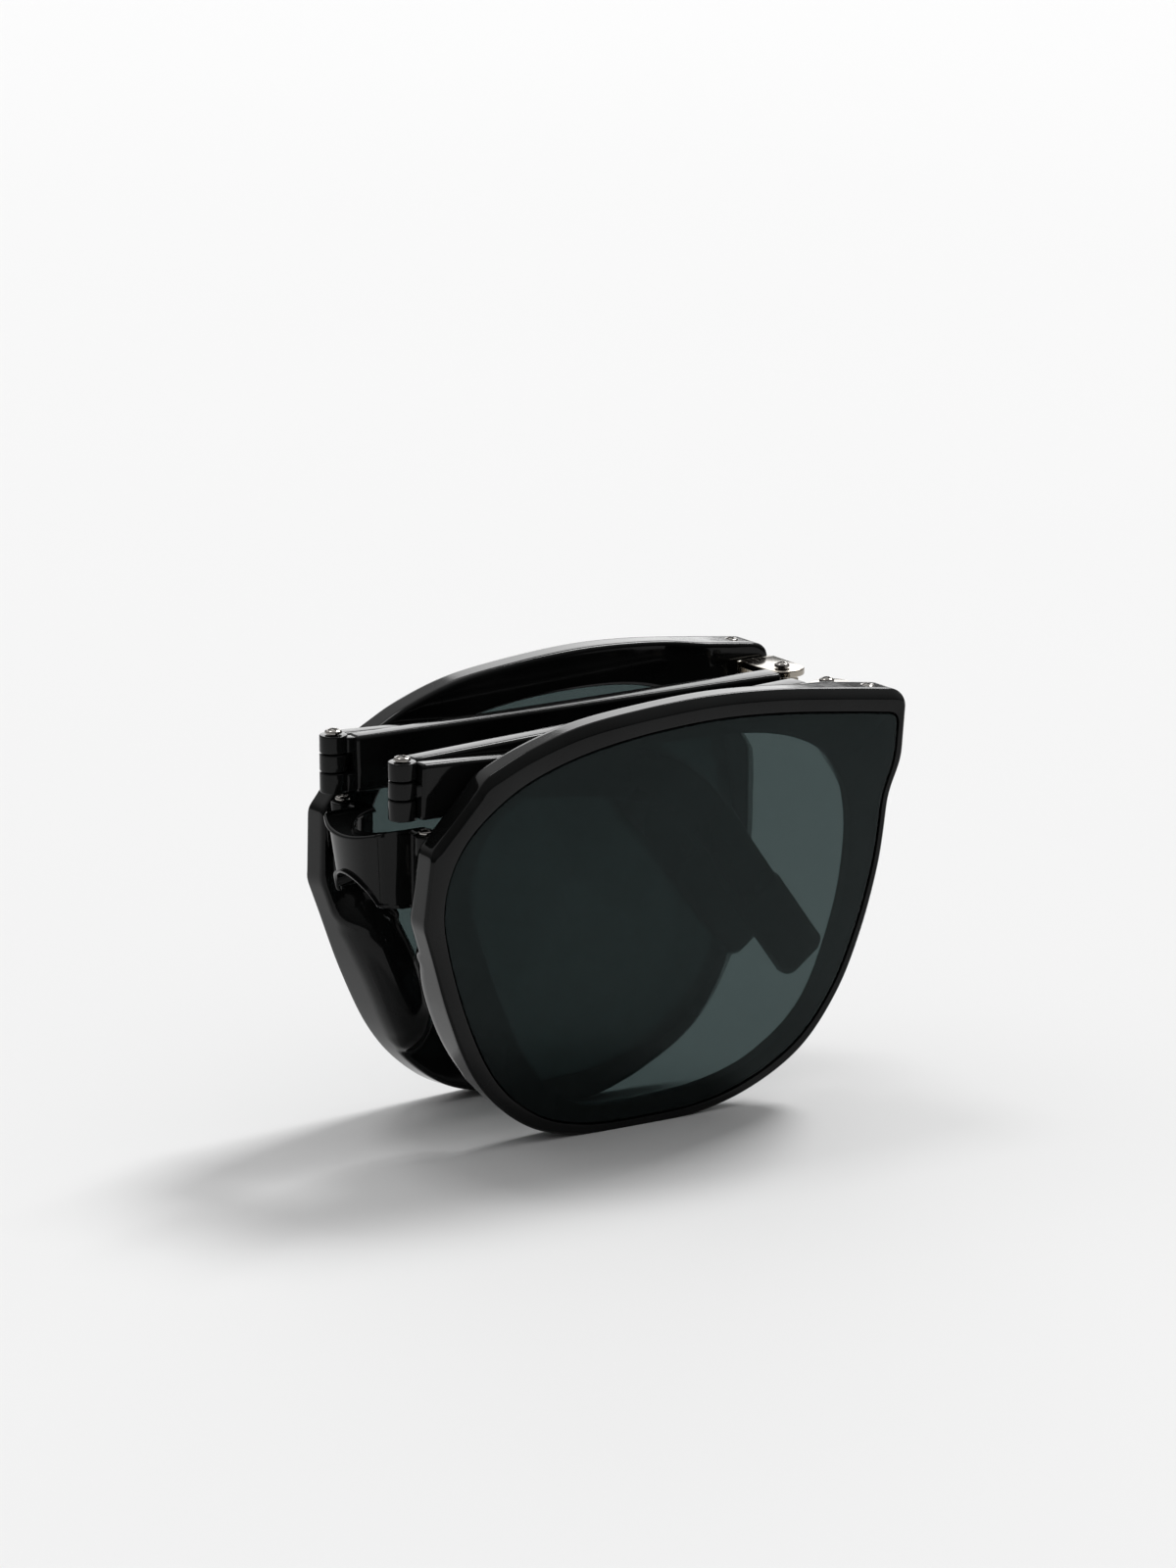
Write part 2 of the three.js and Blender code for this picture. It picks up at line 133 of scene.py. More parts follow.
RIM = settled(chain(
    (-3, 0),
    ("s", [(5, 0.25), (12.5, 2.1), (19, 5.8), (23.5, 11.6), (26.3, 18.4), (28.2, 26.2), (28.9, 33.2)]),
    ("b", [(29.2, 36), (30.35, 36.9), (30.5, 39.4)]),
    ("b", [(30.6, 44.4)]),
    ("b", [(30.7, 46.25), (28.6, 46.55)]),
    ("s", [(22.5, 47.4), (13.5, 48.5), (5, 48.95), (-4, 48.6), (-12, 47.75), (-18.5, 46), (-23.2, 44)]),
    ("b", [(-24.4, 43.4), (-25.1, 42.3)]),
    ("b", [(-30.2, 36.7)]),
    ("b", [(-30.8, 36.1), (-30.85, 35.2)]),
    ("b", [(-31.4, 28.7)]),
    ("b", [(-31.5, 28), (-31.25, 27.2)]),
    ("s", [(-30.2, 24.1), (-27.8, 17), (-24.7, 10.2), (-20.9, 5.5), (-15.8, 2), (-9.5, 0.35), (-3, 0)]),
))
LENS = settled(chain(
    (-3, 1.3),
    ("s", [(5, 1.5), (12, 3.2), (18.4, 6.9), (22.6, 12.2), (25.4, 18.9), (27.3, 26.4), (28, 33.4)]),
    ("b", [(28.3, 36), (29.3, 37), (29.5, 39.6)]),
    ("b", [(29.6, 42.4)]),
    ("b", [(29.6, 43.9), (28, 44)]),
    ("s", [(22.5, 44.8), (13.5, 45.9), (5, 46.35), (-4, 45.9), (-12, 44.7), (-18.5, 42.7), (-23, 40.1),
           (-26.4, 36.9), (-28.3, 33.2), (-28.9, 29.2), (-28.2, 24.8), (-25.9, 17.6), (-22.8, 10.9),
           (-19.3, 6.4), (-14.6, 3.2), (-9, 1.65), (-3, 1.3)]),
))
APERTURE = settled(chain(
    (-2, 2.9),
    ("s", [(7, 3.5), (14, 5.8), (20, 11.1), (23.5, 20.6), (24.5, 28.6), (23.9, 34.1), (22, 38.2),
           (18.8, 41.2), (13, 43.3), (5, 44.1), (-5, 43.8), (-14, 42.2), (-20.5, 39.2), (-24, 35.2),
           (-25, 30.4), (-23.6, 25), (-20.9, 18), (-17.6, 11.4), (-14, 6.6), (-9, 3.6), (-2, 2.9)]),
))
HUB = np.array([0.0, 25.0])


def smoothstep(low, high, value):
    t = np.clip((value - low) / (high - low), 0, 1)
    return t * t * (3 - 2 * t)


def by_angle(outline, angles):
    """The outline's points on rays from the hub at the given angles."""
    spokes = outline - HUB
    angle = np.unwrap(np.arctan2(spokes[:, 1], spokes[:, 0]))
    radius = np.hypot(spokes[:, 0], spokes[:, 1])
    angle, first = np.unique(angle, return_index=True)
    radius = radius[first]
    turn = 2 * math.pi
    wrapped = angle[0] + np.mod(angles - angle[0], turn)
    reach = np.interp(wrapped, np.append(angle, angle[0] + turn), np.append(radius, radius[0]))
    return HUB + np.stack([np.cos(angles), np.sin(angles)], 1) * reach[:, None]


def even_angles(outline, count):
    """Angles from the hub that space points evenly along the outline."""
    steps = np.hypot(*np.diff(outline, axis=0).T)
    along = np.concatenate([[0], np.cumsum(steps)])
    at = np.linspace(0, along[-1], count, endpoint=False)
    spokes = outline - HUB
    angle = np.unwrap(np.arctan2(spokes[:, 1], spokes[:, 0]))
    return np.interp(at, along, angle)


def evened(values, reach):
    """Running mean round a closed outline, so that offsets don't fold at a tight bend."""
    return sum(np.roll(values, k, 0) for k in range(-reach, reach + 1)) / (2 * reach + 1)


def outward(points):
    """Outward normals of a closed counter-clockwise outline."""
    ahead = np.roll(points, -1, 0) - np.roll(points, 1, 0)
    normal = np.stack([ahead[:, 1], -ahead[:, 0]], 1)
    return normal / np.hypot(normal[:, 0], normal[:, 1])[:, None]


# ---------------------------------------------------------------- meshes

def stood(points):
    """Rim drawing (along, up, depth behind the front) to the left half of the object."""
    x, h, d = points[..., 0], points[..., 1], points[..., 2]
    reach = x - BRIDGE_PIVOT[0]
    behind = d * math.cos(TILT) - h * math.sin(TILT)
    return np.stack([BRIDGE_PIVOT[0] + reach * math.cos(SPREAD) + behind * math.sin(SPREAD),
                     -RIM_FRONT - reach * math.sin(SPREAD) + behind * math.cos(SPREAD),
                     h * math.cos(TILT) + d * math.sin(TILT)], -1)


def sheet_faces(rows, columns, wrap_rows, wrap_columns):
    """Quads over a grid of vertices, numbered row by row."""
    faces = []
    for i in range(rows if wrap_rows else rows - 1):
        for k in range(columns if wrap_columns else columns - 1):
            i2, k2 = (i + 1) % rows, (k + 1) % columns
            faces.append((i * columns + k, i * columns + k2, i2 * columns + k2, i2 * columns + k))
    return faces


def ring_stack(rings):
    """Vertices and faces of equally long rings, capped at both ends."""
    rings = np.asarray(rings, float)
    rows, columns = rings.shape[:2]
    faces = sheet_faces(rows, columns, False, True)
    faces.append(tuple(range(columns))[::-1])
    faces.append(tuple((rows - 1) * columns + k for k in range(columns)))
    return rings.reshape(-1, 3), faces


def loop_stack(rings):
    """Vertices and faces of rings that close on themselves both ways."""
    rings = np.asarray(rings, float)
    return rings.reshape(-1, 3), sheet_faces(rings.shape[0], rings.shape[1], True, True)


def slab(outline, low, high, ease):
    """Plan outline between two heights with eased edges."""
    outline = np.asarray(outline, float)
    normal = outward(outline)
    steps = [(1.0, 0.0), (0.62, 0.08), (0.29, 0.29), (0.08, 0.62), (0.0, 1.0)]
    rings = []
    for inset, rise in steps:
        level = np.full(len(outline), low + rise * ease)
        rings.append(np.column_stack([outline - normal * inset * ease, level]))
    for inset, rise in reversed(steps):
        level = np.full(len(outline), high - rise * ease)
        rings.append(np.column_stack([outline - normal * inset * ease, level]))
    return ring_stack(rings)


def turned(centre, profile, segments=72):
    """A closed (radius, height) profile turned about an upright line."""
    angles = np.linspace(0, 2 * math.pi, segments, endpoint=False)
    rings = [[(centre[0] + r * math.cos(a), centre[1] + r * math.sin(a), z) for r, z in profile]
             for a in angles]
    return loop_stack(rings)


def knuckle(centre, radius, bore, low, high, ease=0.13):
    """Hinge knuckle: a ring with eased outer edges."""
    fillet = [(math.sin(a), 1 - math.cos(a)) for a in np.linspace(0, math.pi / 2, 5)]
    profile = [(bore, low)]
    profile += [(radius - ease + ease * s, low + ease * c) for s, c in fillet]
    profile += [(radius - ease + ease * s, high - ease * c) for s, c in reversed(fillet)]
    profile += [(bore, high)]
    return turned(centre, profile)


def rounded_section(width, height, radius, per_corner=7):
    radius = min(radius, width / 2 - 0.01, height / 2 - 0.01)
    ring = []
    for quarter, (sx, sy) in enumerate(((1, 1), (-1, 1), (-1, -1), (1, -1))):
        for a in np.linspace(0, math.pi / 2, per_corner) + quarter * math.pi / 2:
            ring.append((sx * (width / 2 - radius) + radius * math.cos(a),
                         sy * (height / 2 - radius) + radius * math.sin(a)))
    return np.array(ring)


def bar(path, size, end_ease=(0.35, 0.35)):
    """Bar along a path; size(t) gives width, height and corner radius. The ends are eased."""
    path = np.asarray(path, float)
    steps = np.linalg.norm(np.diff(path, axis=0), axis=1)
    along = np.concatenate([[0], np.cumsum(steps)])
    total = along[-1]
    stations = list(along[1:-1])
    for end, ease in enumerate(end_ease):
        rise = [ease * (1 - math.cos(a)) for a in np.linspace(0, math.pi / 2, 8)]
        stations += [r if end == 0 else total - r for r in rise]
    stations = np.unique(np.round(stations, 6))
    rings = []
    for s in stations:
        centre = np.array([np.interp(s, along, path[:, k]) for k in range(3)])
        ahead = np.array([np.interp(min(s + 0.4, total), along, path[:, k]) for k in range(3)])
        behind = np.array([np.interp(max(s - 0.4, 0), along, path[:, k]) for k in range(3)])
        tangent = (ahead - behind) / np.linalg.norm(ahead - behind)
        side = np.array([0, 1.0, 0]) - tangent * tangent[1]
        side /= np.linalg.norm(side)
        up = np.cross(side, tangent)
        up *= -1 if up[2] < 0 and abs(tangent[2]) < 0.99 else 1
        shrink = 0.0
        for ease, distance in ((end_ease[0], s), (end_ease[1], total - s)):
            if distance < ease:
                shrink = max(shrink, ease - math.sqrt(max(ease ** 2 - (ease - distance) ** 2, 0)))
        width, height, radius = size(s / total)
        section = rounded_section(max(width - 2 * shrink, 0.06), max(height - 2 * shrink, 0.06), radius)
        rings.append(centre + section[:, :1] * side + section[:, 1:] * up)
    return ring_stack(rings)


def joined(*parts):
    vertices, faces, start = [], [], 0
    for v, f in parts:
        vertices.append(np.asarray(v, float))
        faces += [tuple(start + k for k in face) for face in f]
        start += len(v)
    return np.vstack(vertices), faces


def piece(name, shape, material, body, replaces=(), mirror=False, crease=38):
    """A finished piece from a drawing in millimetres, riding on a body."""
    vertices, faces = shape
    vertices = (np.asarray(vertices, float) * (1, -1 if mirror else 1, 1) + SHIFT) * MM
    mesh = bpy.data.meshes.new(name)
    mesh.from_pydata(vertices.tolist(), [], faces)
    mesh.validate()
    made = bpy.data.objects.new(name, mesh)
    bpy.context.scene.collection.objects.link(made)
    mesh.materials.append(material)
    bpy.context.view_layer.objects.active = made
    made.select_set(True)
    bpy.ops.object.mode_set(mode="EDIT")
    bpy.ops.mesh.select_all(action="SELECT")
    bpy.ops.mesh.normals_make_consistent(inside=False)
    bpy.ops.object.mode_set(mode="OBJECT")
    made.select_set(False)
    mesh.shade_smooth()
    mesh.set_sharp_from_angle(angle=math.radians(crease))
    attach(made, body)
    if replaces:
        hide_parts(*replaces)


# ---------------------------------------------------------------- materials

def new_material(name):
    material = bpy.data.materials.new(name)
    material.use_nodes = True
    tree = material.node_tree
    shader = tree.nodes["Principled BSDF"]
    return material, tree, shader


def noise(tree, coordinates, scale, detail=3.0, stretch=(1, 1, 1)):
    mapping = tree.nodes.new("ShaderNodeMapping")
    mapping.inputs["Scale"].default_value = stretch
    tree.links.new(coordinates, mapping.inputs["Vector"])
    texture = tree.nodes.new("ShaderNodeTexNoise")
    texture.inputs["Scale"].default_value = scale
    texture.inputs["Detail"].default_value = detail
    tree.links.new(mapping.outputs["Vector"], texture.inputs["Vector"])
    return texture.outputs["Fac"]


def spread(tree, factor, low, high, out_low, out_high):
    """Map a factor's low to high onto an output range, clamped."""
    node = tree.nodes.new("ShaderNodeMapRange")
    for socket, value in (("From Min", low), ("From Max", high),
                          ("To Min", out_low), ("To Max", out_high)):
        node.inputs[socket].default_value = value
    tree.links.new(factor, node.inputs["Value"])
    return node.outputs["Result"]


def combined(tree, operation, a, b):
    node = tree.nodes.new("ShaderNodeMath")
    node.operation = operation
    for k, value in enumerate((a, b)):
        if isinstance(value, (int, float)):
            node.inputs[k].default_value = value
        else:
            tree.links.new(value, node.inputs[k])
    return node.outputs["Value"]


def blended(tree, factor, a, b):
    node = tree.nodes.new("ShaderNodeMix")
    node.data_type = "RGBA"
    tree.links.new(factor, node.inputs["Factor"])
    node.inputs["A"].default_value = (*a, 1)
    node.inputs["B"].default_value = (*b, 1)
    return node.outputs["Result"]


def surface(name, dark, light, rough, scratch=0.05, grain=0.02, grain_scale=2600, metallic=0.0,
            specular=0.5, wear=0.35):
    """Moulded or polished: colour drift, cloudy gloss, hairline scratches, edge wear, fine grain."""
    material, tree, shader = new_material(name)
    nodes, links = tree.nodes, tree.links
    coordinates = nodes.new("ShaderNodeTexCoord").outputs["Object"]
    drift = noise(tree, coordinates, 90, 4)
    cloud = noise(tree, coordinates, 260, 5)
    hairs = noise(tree, coordinates, 420, 2, (0.25, 1, 9))
    hairs = spread(tree, hairs, 0.655, 0.70, 0, 1)
    crossed = noise(tree, coordinates, 380, 2, (9, 1, 0.3))
    crossed = spread(tree, crossed, 0.665, 0.71, 0, 1)
    scratches = combined(tree, "MAXIMUM", hairs, crossed)
    edges = spread(tree, nodes.new("ShaderNodeNewGeometry").outputs["Pointiness"], 0.52, 0.60, 0, wear)
    worn = combined(tree, "MAXIMUM", spread(tree, drift, 0.35, 0.7, 0, 0.6), edges)
    links.new(blended(tree, worn, dark, light), shader.inputs["Base Color"])
    gloss = spread(tree, cloud, 0.3, 0.75, rough[0], rough[1])
    gloss = combined(tree, "ADD", gloss, combined(tree, "MULTIPLY", scratches, scratch))
    links.new(gloss, shader.inputs["Roughness"])
    fine = noise(tree, coordinates, grain_scale, 2)
    relief = combined(tree, "SUBTRACT", fine, combined(tree, "MULTIPLY", scratches, 0.6))
    bump = nodes.new("ShaderNodeBump")
    bump.inputs["Strength"].default_value = grain
    bump.inputs["Distance"].default_value = 0.00012
    links.new(relief, bump.inputs["Height"])
    links.new(bump.outputs["Normal"], shader.inputs["Normal"])
    shader.inputs["Metallic"].default_value = metallic
    shader.inputs["Specular IOR Level"].default_value = specular
    return material


def lens_material():
    material, tree, shader = new_material("tinted_lens")
    coordinates = tree.nodes.new("ShaderNodeTexCoord").outputs["Object"]
    smear = noise(tree, coordinates, 55, 4, (1, 1, 2.4))
    dust = spread(tree, noise(tree, coordinates, 1500, 2), 0.84, 0.87, 0, 0.01)
    gloss = combined(tree, "ADD", spread(tree, smear, 0.45, 0.8, 0.0, 0.004), dust)
    tree.links.new(gloss, shader.inputs["Roughness"])
    drift = noise(tree, coordinates, 20, 2)
    tint = blended(tree, drift, (0.045, 0.064, 0.063), (0.049, 0.069, 0.069))
    tree.links.new(tint, shader.inputs["Base Color"])
    shader.inputs["Transmission Weight"].default_value = 1.0
    shader.inputs["IOR"].default_value = 1.4
    shader.inputs["Specular Tint"].default_value = (0.38, 0.5, 0.5, 1)
    return material


BLACK_DARK = (0.0035, 0.0038, 0.0038)
BLACK_LIGHT = (0.011, 0.0115, 0.0115)
BLACK = surface("polished_black", BLACK_DARK, BLACK_LIGHT, (0.05, 0.11), specular=0.16)
TEMPLE_BLACK = surface("temple_black", BLACK_DARK, BLACK_LIGHT, (0.06, 0.13), specular=0.16)
SATIN = surface("sleeve_black", (0.006, 0.0065, 0.0065), (0.014, 0.0145, 0.0145), (0.2, 0.34),
                grain=0.05, specular=0.12)
METAL = surface("hinge_metal", (0.26, 0.235, 0.20), (0.50, 0.46, 0.40), (0.09, 0.20),
                scratch=0.12, grain=0.04, metallic=1.0, wear=0.8)
SCREW = surface("screw_metal", (0.20, 0.19, 0.18), (0.46, 0.44, 0.41), (0.10, 0.22),
                scratch=0.1, grain=0.03, metallic=1.0, wear=0.8)
TINT = lens_material()


# ---------------------------------------------------------------- rims

def rim_depth(x, h):
    """Depth of the rear surface behind the front face: band, end piece and nose pad."""
    end = (END_DEPTH - RIM_DEPTH) * smoothstep(15.5, 21.5, x) * smoothstep(35.8, 39.5, h)
    base = RIM_DEPTH + end
    across, up = x - PAD_CENTRE[0], h - PAD_CENTRE[1]
    u = (across * math.cos(PAD_TURN) + up * math.sin(PAD_TURN)) / 5.35
    v = (-across * math.sin(PAD_TURN) + up * math.cos(PAD_TURN)) / 10.7
    pad = 2.6 + 5.5 * np.sqrt(np.clip(1 - u * u - v * v, 0, 1))
    blend = np.clip(0.5 + 0.5 * (pad - base) / 0.7, 0, 1)
    return base * (1 - blend) + pad * blend + 0.7 * blend * (1 - blend)


def knuckle_pocket(x, h, depth):
    """Room in the rear surface for the bridge's knuckle."""
    across = np.abs(x - BRIDGE_PIVOT[0])
    reach = np.sqrt(np.clip(POCKET_RADIUS ** 2 - across ** 2, 0, None))
    limit = (BRIDGE_PIVOT[1] - reach + RIM_FRONT + h * math.sin(TILT)) / math.cos(TILT)
    inside = (across < POCKET_RADIUS) & (h > 30.9) & (h < 34.95)
    return np.where(inside, np.minimum(depth, limit), depth)


def rim_shape(count=560):
    """Seat, front band, tapering outer side, rear surface and opening, as rings round the rim."""
    angles = even_angles(RIM, count)
    outer, lens, inner = (by_angle(c, angles) for c in (RIM, LENS, APERTURE))
    lens_out, inner_out, outer_out = outward(lens), outward(inner), outward(outer)
    outer = outer - outer_out * BOX_INSET
    groove = lens + lens_out * 0.13
    ease = 0.25 + 0.75 * np.clip(outer_out[:, 1], 0, 1)
    rows = []

    def row(points, depth):
        depth = np.broadcast_to(depth, (count,))
        rows.append(np.column_stack([points, depth]))

    row(groove, SEAT_DEPTH)
    row(groove, 0.4)
    row(groove, 0.09)
    row(groove + lens_out * 0.025, 0.025)
    row(groove + lens_out * 0.09, 0.0)
    for inset, depth in ((1.28, 0.0), (1.12, 0.0), (1.03, 0.012), (0.93, 0.06), (0.5, 0.44), (0.09, 0.83),
                         (0.025, 0.92), (0.0, 1.03)):
        row(outer - outer_out * (ease * inset)[:, None], ease * depth)
    rear = rim_depth(outer[:, 0], outer[:, 1])
    nose = smoothstep(4.3, 5.5, rear) * (outer[:, 0] < 0)
    rear_ease = 0.5 + 1.5 * nose
    facing_up = np.clip(outer_out[:, 1], 0, 1)
    taper = FLANK_TAPER * np.clip(outer_out[:, 0], 0, 1)
    taper = taper * (1 - smoothstep(33.5, 39.5, outer[:, 1]))
    taper = evened(outer_out * taper[:, None], FLANK_SMOOTHING)
    for share in (0.1, 0.25, 0.4, 0.55, 0.7, 0.85, 1.0):
        depth = ease * 1.03 + (rear - rear_ease - ease * 1.03) * share
        fall = 0.1 * facing_up * np.clip(depth - 1, 0, None)
        tapered = np.clip((depth - FLANK_START) / FLANK_RUN, 0, 1)
        moved = outer - outer_out * fall[:, None] - taper * tapered[:, None]
        row(moved, depth)
    outer = moved
    span = inner - outer
    width = np.hypot(span[:, 0], span[:, 1])
    for share in (0.012, 0.035, 0.07, 0.12, 0.2, 0.3, 0.4, 0.5, 0.6, 0.7, 0.8, 0.87, 0.92, 0.955, 0.98, 1.0):
        at = outer + span * share
        near_edge = np.minimum(share, 1 - share) * width
        within = np.clip(rear_ease - near_edge, 0, None)
        drop = rear_ease - np.sqrt(np.clip(rear_ease ** 2 - within ** 2, 0, None))
        row(at, knuckle_pocket(at[:, 0], at[:, 1], rim_depth(at[:, 0], at[:, 1]) - drop))
    row(inner, SEAT_DEPTH + 0.25)
    row(inner + inner_out * 0.07, SEAT_DEPTH + 0.04)
    row(inner + inner_out * 0.2, SEAT_DEPTH)
    rings = np.swapaxes(stood(np.array(rows)), 0, 1)
    rings[..., 2] = np.maximum(rings[..., 2], FOOT_TRIM + FLOOR_GAP)
    return loop_stack(rings)


def lens_shape(count=420, front=0.1, back=1.08):
    outline = by_angle(LENS, even_angles(LENS, count))
    normal = outward(outline)
    rings = []
    for inset, depth in ((0.22, front), (0.1, front + 0.015), (0.03, front + 0.07), (0.0, front + 0.16),
                         (0.0, back - 0.12), (0.03, back - 0.04), (0.1, back)):
        points = outline - normal * inset
        rings.append(stood(np.column_stack([points, np.full(count, depth)])))
    return ring_stack(rings)


# ---------------------------------------------------------------- screws and hinges

def screw_shape(centre, pin_low, head_low, radius, height, pin=0.42, turns=96):
    """Domed head with a pressed cross recess on a plain pin."""
    angles = np.linspace(0, 2 * math.pi, turns, endpoint=False)
    cosine, sine = np.cos(angles), np.sin(angles)
    rise = height * 0.35
    rings = []
    for z, r in ((pin_low, pin * 0.75), (pin_low + 0.12, pin), (head_low, pin),
                 (head_low, radius * 0.93), (head_low + 0.04, radius)):
        rings.append(np.column_stack([centre[0] + r * cosine, centre[1] + r * sine, np.full(turns, z)]))
    for share in (1.0, 0.985, 0.95, 0.9, 0.82, 0.74, 0.68, 0.62, 0.54, 0.46, 0.38, 0.3, 0.22, 0.16,
                  0.1, 0.05, 0.015):
        x, y = radius * share * cosine, radius * share * sine
        dome = head_low + rise + (height - rise) * math.sqrt(1 - share ** 2)
        arm = 0.0
        for a, b in ((x, y), (y, x)):
            wide = 1 - smoothstep(0.13 * radius, 0.21 * radius, np.abs(b))
            long = 1 - smoothstep(0.6 * radius, 0.72 * radius, np.abs(a))
            arm = np.maximum(arm, wide * long)
        rings.append(np.column_stack([centre[0] + x, centre[1] + y, dome - arm * height * 0.45]))
    return ring_stack(rings)


def arc(centre, radius, start, end, steps):
    return [(centre[0] + radius * math.cos(a), centre[1] + radius * math.sin(a))
            for a in np.linspace(math.radians(start), math.radians(end), steps)]


def box_outline(x0, x1, y0, y1, corner=0.2, steps=5):
    outline = []
    for (cx, cy), start in (((x1 - corner, y1 - corner), 0), ((x0 + corner, y1 - corner), 90),
                            ((x0 + corner, y0 + corner), 180), ((x1 - corner, y0 + corner), 270)):
        outline += arc((cx, cy), corner, start, start + 90, steps)
    return outline


def fork_shape():
    """Foot plate on the end piece and two round-ended tongues."""
    px, py = TEMPLE_PIVOT
    tongue = (arc((px + 0.7, py), TONGUE_RADIUS, 0, 90, 20) + arc((px, py), TONGUE_RADIUS, 90, 180, 20)
              + [(px - TONGUE_RADIUS, -9.9), (px + 2.68, -9.9)])
    foot = box_outline(24.12, 28.98, -10.38, -9.77, 0.12)
    return joined(slab(tongue, 44.9, 45.7, 0.16), slab(tongue, 41.9, 42.7, 0.16),
                  slab(foot, 41.35, 45.68, 0.12))


def leaf_shape():
    """Tongue between the fork's two, with a shank let into the temple."""
    px, py = TEMPLE_PIVOT
    shank = [(24.6, -1.82), (20.4, -1.82), (20.4, -3.18), (24.55, -3.2)]
    return slab(arc((px, py), 1.88, -150, 122, 48) + shank, 43.02, 44.58, 0.14)


# ---------------------------------------------------------------- bridge

def bridge_shape():
    """Arched saddle bridge, C-shaped in plan, swept from one hinge arm round to the other."""
    half = BRIDGE_HALF
    front = catmull([(-33.2, -half), (-34.4, -3.1), (-34.8, 0), (-34.4, 3.1), (-33.2, half)], 14)
    side = [(-29.2, BRIDGE_PIVOT[1]), (-29.2, -7.6), (-29.2, -6.6), (-29.2, -6.1)]
    inner_corner = bezier([(-29.2, -6.1), (-29.2, -half), (-29.6, -half)], 5)[1:]
    wall = [(-30.6, -half), (-31.8, -half), (-32.7, -half)]
    outer_corner = bezier([(-32.7, -half), (-33.15, -half), (-33.35, -5.3)], 6)[1:]
    outer = np.vstack([side, inner_corner, wall, outer_corner, front[3:29]])
    outer = np.vstack([outer, outer[-2::-1] * (1, -1)])
    hollow = bezier([(-26.9, -4.8), (-30.3, -4.2), (-31.9, -2.4), (-31.9, 0)], 30)
    arm = [(-26.9, BRIDGE_PIVOT[1]), (-26.9, -7.6), (-26.9, -6.6), (-26.9, -5.6)]
    inner = np.vstack([arm, hollow])
    inner = np.vstack([inner, inner[-2::-1] * (1, -1)])

    def even(path, count):
        steps = np.hypot(*np.diff(path, axis=0).T)
        along = np.concatenate([[0], np.cumsum(steps)])
        at = np.linspace(0, along[-1], count)
        return np.column_stack([np.interp(at, along, path[:, k]) for k in range(2)])

    def top(y):
        dip = math.sqrt(SADDLE_RADIUS ** 2 - min(abs(y), 5.5) ** 2)
        return min(BRIDGE_TOP, SADDLE_LOW + SADDLE_RADIUS - dip)

    def low(y):
        return max(BRIDGE_LOW, ARCH_CENTRE + math.sqrt(max(ARCH_RADIUS ** 2 - y * y, 0)))

    rings = []
    for o, i in zip(outer, even(inner, len(outer))):
        across = i - o
        width = np.hypot(*across)
        unit = across / width
        radius = min(0.4, width * 0.2)
        ring = []
        for corner in range(4):
            for a in np.linspace(0, math.pi / 2, 6):
                s, c = radius * (1 - math.sin(a)), radius * (1 - math.cos(a))
                inset, drop = ((s, c), (c, s), (s, c), (c, s))[corner]
                at = o + unit * (inset if corner in (0, 3) else width - inset)
                z = top(at[1]) - drop if corner in (0, 1) else low(at[1]) + drop
                lean = (BRIDGE_TOP - z) / 8.7 * min(max((-30.6 - at[0]) / 1.6, 0), 1)
                ring.append((at[0] + lean, at[1] * (1 - 0.2 * lean), z))
        rings.append(ring)
    return ring_stack(rings)


# ---------------------------------------------------------------- temples

def path_between(a, b, count):
    return np.linspace(np.asarray(a, float), np.asarray(b, float), count)


REAR_POINTS = [(-29.7, -8.4, 41.9), (-18, -8.4, 41.4), (-6, -8.3, 40.1), (2, -8.0, 37.8), (7.5, -7.5, 33.4),
               (11.7, -7.0, 27.9), (16.2, -6.5, 22.0), (21.3, -6.0, 15.3)]


def front_arm_shape():
    path = path_between((-29.2, -5.86, 41.91), (24.2, -2.5, 43.15), 40)
    arm = bar(path, lambda t: (2.3 + 0.9 * t, 6.35 - 0.65 * t, 0.5), (0.4, 0.3))
    web = box_outline(-30.2, -28.9, -6.85, -5.3, 0.25)
    webs = [slab(web, low, high, 0.2) for low, high in ((38.85, 40.9), (43.2, 44.95))]
    knuckles = [knuckle(MIDDLE_PIVOT, MIDDLE_RADIUS, PIN_BORE, low, high)
                for low, high in ((38.7, 40.95), (43.15, 45.1))]
    return joined(arm, *webs, *knuckles)


def rear_arm_shape():
    path = catmull(REAR_POINTS, 14)
    cut = int(len(path) * ARM_END)
    arm = bar(path[:cut], lambda t: (2.1 + 0.3 * t, 6.2 - 0.9 * t, 0.5), (0.4, 0.1))
    web = slab(box_outline(-30.2, -28.9, -9.2, -7.6, 0.25), 41.35, 42.75, 0.2)
    return joined(arm, web, knuckle(MIDDLE_PIVOT, MIDDLE_RADIUS, PIN_BORE, 41.1, 43.0))


def sleeve_shape():
    path = catmull(REAR_POINTS, 14)
    start = int(len(path) * SLEEVE_START)
    return bar(path[start:], lambda t: (2.9, 6.0, 1.1), (0.5, 1.4))


# ---------------------------------------------------------------- assembly

